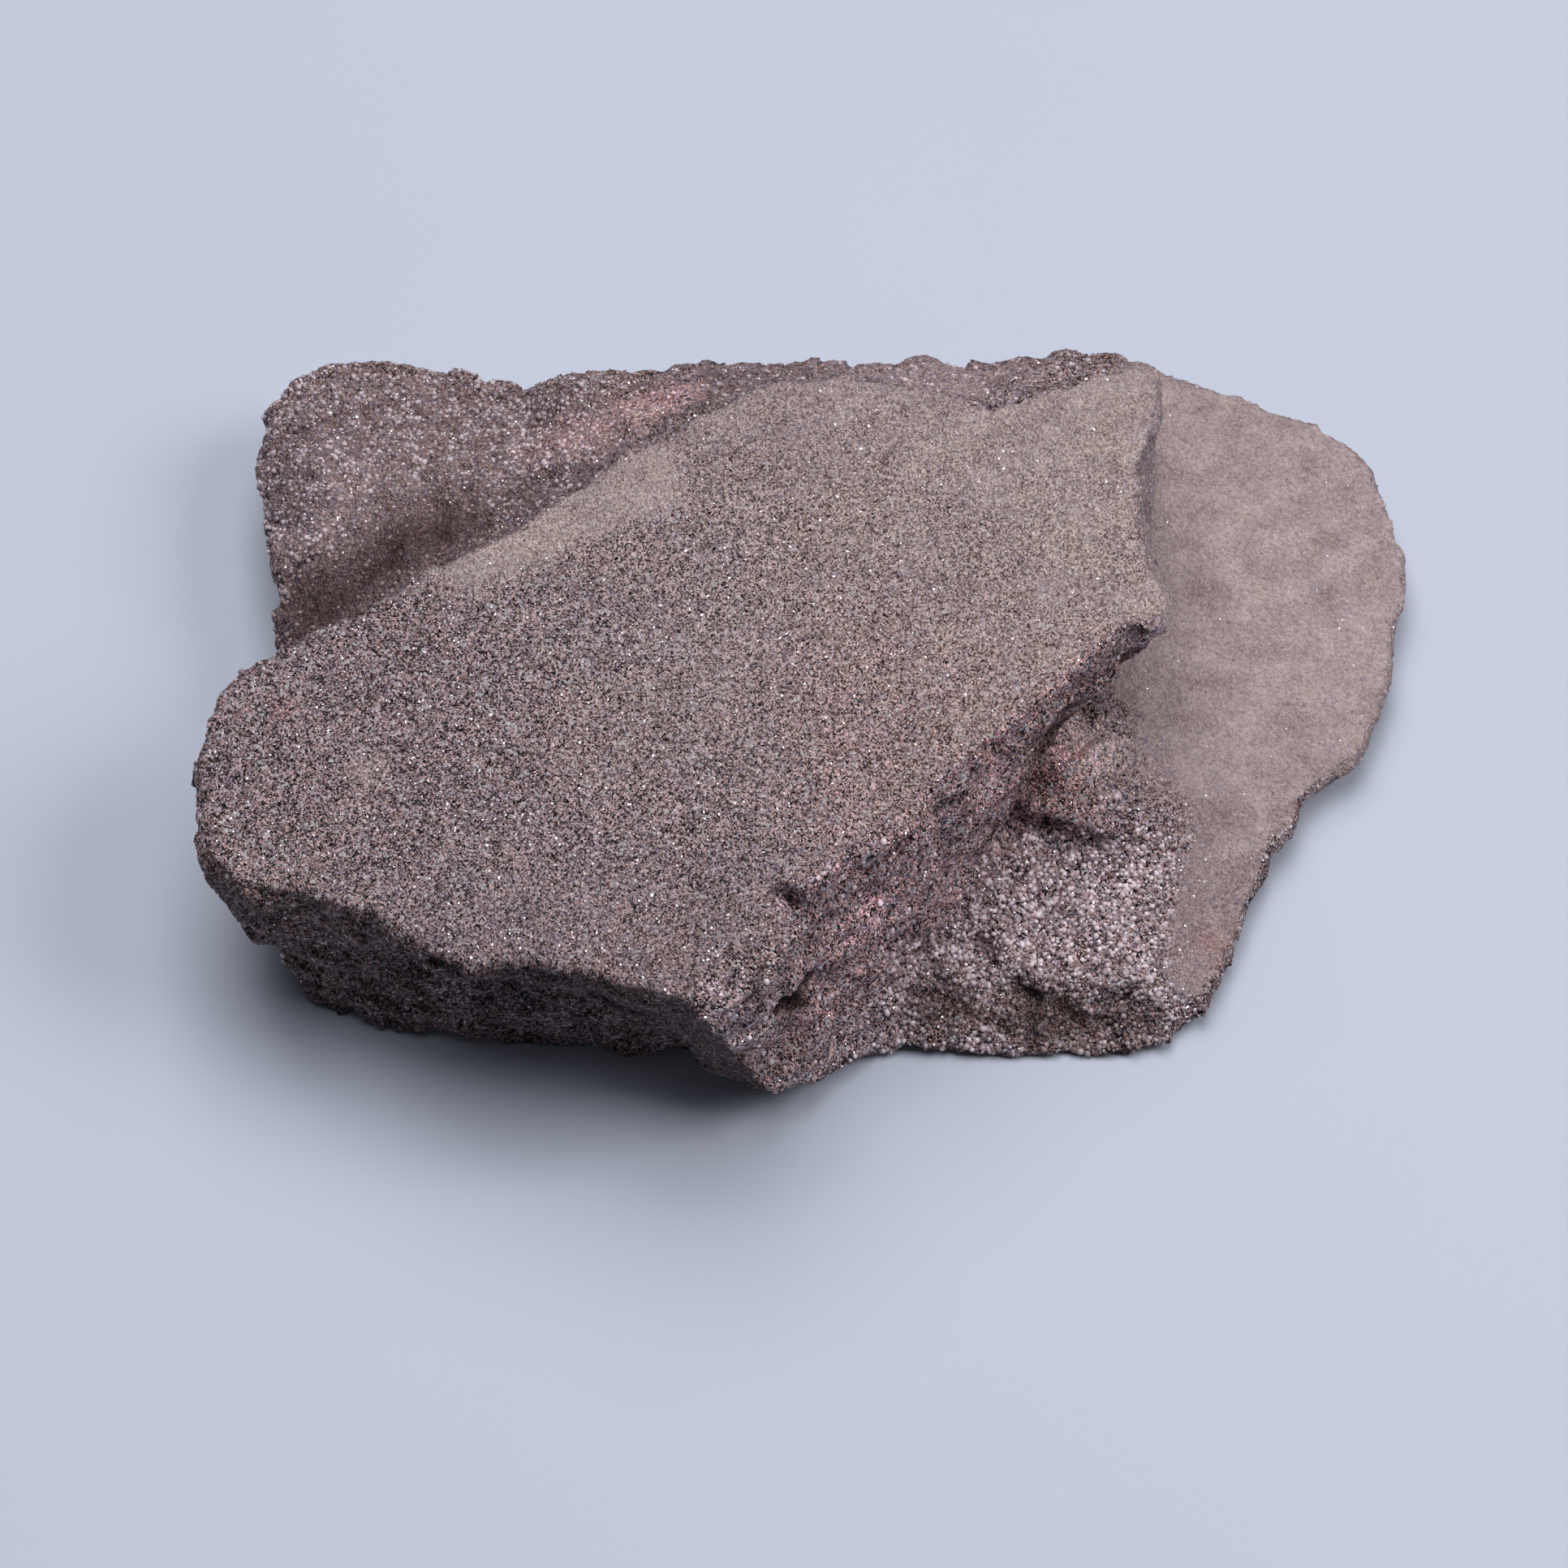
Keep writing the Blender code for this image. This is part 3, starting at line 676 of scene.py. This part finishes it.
# The apron and the wing are the coarsest and most sparkling faces, and places painted darker, in their
# own colour and with painted shade, glint least
x, y, z = corners.mean(axis=1).T
apron = fade(y, -7.5, -9.5) * fade(x, 3.0, 7.0) * fade(x, 27.0, 24.5) * fade(z, 7.0, 5.0)
wing = fade(x, -12.0, -16.0) * fade(y - 0.66 * x, 21.0, 23.0) * fade(z, 16.5, 15.5)
broken = 1.0 - bed_share
clear_of_table = fade(z, 0.05, 0.3)
lit = np.clip(1.0 + 1.4 * pale_and_painted_light, 0.1, 1.0)


def one_grain(flatness, rounded):
    """An angular or a rounded grain, a millimetre across, as its points and triangles."""
    grain = bmesh.new()
    if rounded:
        bmesh.ops.create_icosphere(grain, subdivisions=1, radius=0.5)
    else:
        bmesh.ops.create_uvsphere(grain, u_segments=5, v_segments=2, radius=0.5)
    bmesh.ops.triangulate(grain, faces=grain.faces)
    points = np.array([vertex.co[:] for vertex in grain.verts])
    triangles = np.array([[vertex.index for vertex in face.verts] for face in grain.faces])
    grain.free()
    points *= 1.0 + UNEVENNESS * chance.uniform(-1.0, 1.0, (len(points), 1))
    points[:, 2] *= flatness
    return points, triangles


def turned(up):
    """Turns that stand each grain along its own direction, as one matrix for each."""
    up = up / np.linalg.norm(up, axis=1)[:, None]
    side = np.cross(up, chance.normal(size=up.shape))
    side /= np.linalg.norm(side, axis=1)[:, None]
    return np.stack([side, np.cross(up, side), up], axis=2)


def set_in_stone(name, number, likely, sizes, flatness, sunk, tilt, rounded=False):
    """Sets many grains into the skin, as one piece. Sizes are the smallest and the largest in
    millimetres, sunk is a share of the thickness, and tilt is how far each leans by chance."""
    smallest, largest = sizes
    odds = likely * areas
    picked = chance.choice(len(odds), size=number, p=odds / odds.sum())
    weights = chance.dirichlet((1.0, 1.0, 1.0), number)
    where = (corners[picked] * weights[:, :, None]).sum(axis=1)
    normals = outward[picked]
    sizes = smallest + (largest - smallest) * chance.beta(*SMALL_ONES, number)
    kinds = [one_grain(flatness, rounded) for _ in range(KINDS)]
    shapes = np.array([points for points, _ in kinds])[chance.integers(0, len(kinds), number)]
    turns = turned(normals + tilt * chance.normal(size=normals.shape))
    points = np.einsum("nij,npj->npi", turns, shapes * sizes[:, None, None])
    points += (where - normals * (sunk * sizes * flatness)[:, None])[:, None]
    points[:, :, 2] = np.maximum(points[:, :, 2], 0.0)
    triangles = kinds[0][1][None] + (np.arange(number) * shapes.shape[1])[:, None, None]
    mesh = bpy.data.meshes.new(name)
    mesh.from_pydata((points.reshape(-1, 3) * MM).tolist(), [], triangles.reshape(-1, 3).tolist())
    piece = bpy.data.objects.new(name, mesh)
    bpy.context.scene.collection.objects.link(piece)
    tones = 0.5 + (chance.uniform(0.0, 1.0, number) - 0.5) * (1.0 - EVEN_WHERE_WORN * worn_share[picked])
    spread(piece, "tone", np.repeat(tones, shapes.shape[1]))
    spread(piece, "pale", np.repeat(pale_and_painted_light[picked], shapes.shape[1]))
    spread(piece, "blush", np.repeat(blush_share[picked], shapes.shape[1]))
    if rounded:
        mesh.shade_smooth()
    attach(piece, "root")
    return piece


GRAIN_REDDER = (0.2, 0.32)  # how much green and blue fall behind where the grains are dark
GRAIN_BLUSH = 0.55


def finish_grains(piece, dull, bright, **shader_values):
    """A finish whose grains run from one colour to another, each with its own tone, and which take on
    the stone's paleness, painted light and painted shade where they sit.
    """
    finish = Finish(piece.name, **shader_values)
    colour = finish.blend(finish.kept("tone"), dull, bright)
    colour = finish.blend(GRAIN_BLUSH * finish.kept("blush").clamped(), colour, BLUSHED)
    finish.feed(Base_Color=finish.levelled(colour, 1.0 + finish.kept("pale"), GRAIN_REDDER))
    piece.data.materials.append(finish.material)


# Sand on the broken faces, and finer sand on the bedding where dust doesn't hide it
on_broken = broken * (1.0 - 0.85 * dust_share) * (1.0 - 0.4 * worn_share) * clear_of_table
sand = set_in_stone("taupe_sand", 19500, on_broken, (0.18, 0.44), flatness=0.9, sunk=0.22, tilt=0.8)
dull, bright = (0.145, 0.086, 0.085, 1), (0.50, 0.305, 0.298, 1)
finish_grains(sand, dull, bright, Roughness=0.55, Specular_IOR_Level=0.3)

sand = set_in_stone("grey_sand", 19500, on_broken, (0.16, 0.38), flatness=0.9, sunk=0.22, tilt=0.8)
dull, bright = (0.062, 0.038, 0.039, 1), (0.39, 0.262, 0.262, 1)
finish_grains(sand, dull, bright, Roughness=0.4, Specular_IOR_Level=0.3)

on_bedding = bed_share * (1.0 - 0.95 * dust_share) * clear_of_table
sand = set_in_stone("bedding_sand", 19500, on_bedding, (0.10, 0.27), flatness=0.8, sunk=0.05, tilt=0.7)
dull, bright = (0.048, 0.031, 0.034, 1), (0.66, 0.52, 0.54, 1)
finish_grains(sand, dull, bright, Roughness=0.4)

# Rounded pale quartz, mostly on the apron
coarse = (0.06 + 1.0 * apron + 0.35 * wing) * broken * clear_of_table * lit
size = (0.26, 0.66)
quartz = set_in_stone("pale_quartz", 6500, coarse, size, flatness=0.85, sunk=0.1, tilt=0.9, rounded=True)
dull, bright = (0.20, 0.125, 0.115, 1), (0.82, 0.71, 0.79, 1)
finish_grains(quartz, dull, bright, Roughness=0.14, IOR=1.55)

# Flakes of mica, flat in the faces, which glint
glinting = 0.7 * broken + 0.9 * bed_share * (1.0 - 0.9 * dust_share) + apron + wing
glinting = glinting * clear_of_table * lit
flakes = set_in_stone("mica_flakes", 13000, glinting, (0.10, 0.34), flatness=0.14, sunk=0.1, tilt=0.4)
dull, bright = (0.45, 0.40, 0.43, 1), (0.95, 0.92, 1.0, 1)
finish_grains(flakes, dull, bright, Roughness=0.12, Metallic=0.85)

# ---------------------------------------------------------------------------------------------------
# The table and the light: a pale bluish sheet under soft light from windows above, behind and to the
# right.

TABLE_HALF_WIDTH = 3.0  # in metres, as the windows' places and widths are

floor_shape = bmesh.new()
bmesh.ops.create_grid(floor_shape, x_segments=1, y_segments=1, size=TABLE_HALF_WIDTH)
floor_mesh = bpy.data.meshes.new("table")
floor_shape.to_mesh(floor_mesh)
floor_shape.free()
floor = bpy.data.objects.new("table", floor_mesh)
bpy.context.scene.collection.objects.link(floor)
paper = Finish("pale_table", Roughness=0.7)
paper_at = paper.node("ShaderNodeTexCoord", {}, output="Object")
sockets = {"Vector": paper_at, "Scale": 30.0, "Detail": 4.0, "Roughness": 0.5}
mottle = paper.node("ShaderNodeTexNoise", sockets)
paper.feed(Base_Color=paper.blend(mottle, (0.590, 0.642, 0.778, 1.0), (0.615, 0.662, 0.792, 1.0)))
floor.data.materials.append(paper.material)


def window(name, place, width, power, colour):
    """A square soft light that faces the stone."""
    light = bpy.data.lights.new(name, "AREA")
    light.shape = "SQUARE"
    light.size = width
    light.energy = power
    light.color = colour
    lamp = bpy.data.objects.new(name, light)
    lamp.location = place
    lamp.rotation_euler = (-Vector(place)).to_track_quat("-Z", "Y").to_euler()
    bpy.context.scene.collection.objects.link(lamp)


window("above", (-0.02, 0.0, 0.75), 0.45, 2.3, (0.98, 0.99, 1.0))
window("right", (0.51, -0.07, 0.54), 0.35, 2.1, (1.0, 0.99, 0.97))
window("behind", (-0.10, 0.34, 0.66), 0.45, 1.75, (1.0, 0.99, 0.98))

world = bpy.data.worlds.new("room")
world.use_nodes = True
world.node_tree.nodes["Background"].inputs["Color"].default_value = (0.85, 0.90, 1.0, 1.0)
world.node_tree.nodes["Background"].inputs["Strength"].default_value = 0.05
bpy.context.scene.world = world

# ---------------------------------------------------------------------------------------------------
# The camera, above the front of the stone and looking down at 55 degrees, with a lens long enough for
# the stone to fill the picture.

IMAGE_WIDTH = 1932
FOCAL_LENGTH_PX = 6621.6
SENSOR = 36.0
AIM = Vector((-2.61, -12.77, 16.47)) * MM
DISTANCE = 356.0 * MM
ELEVATION = math.radians(55.0)

camera_data = bpy.data.cameras.new("camera")
camera_data.sensor_width = SENSOR
camera_data.lens = FOCAL_LENGTH_PX / IMAGE_WIDTH * SENSOR
camera_data.clip_start = 0.01
camera = bpy.data.objects.new("camera", camera_data)
back = Vector((0.0, -math.cos(ELEVATION), math.sin(ELEVATION)))
camera.location = AIM + back * DISTANCE
camera.rotation_euler = (-back).to_track_quat("-Z", "Y").to_euler()
bpy.context.scene.collection.objects.link(camera)
bpy.context.scene.camera = camera
bpy.context.scene.view_settings.view_transform = "Standard"
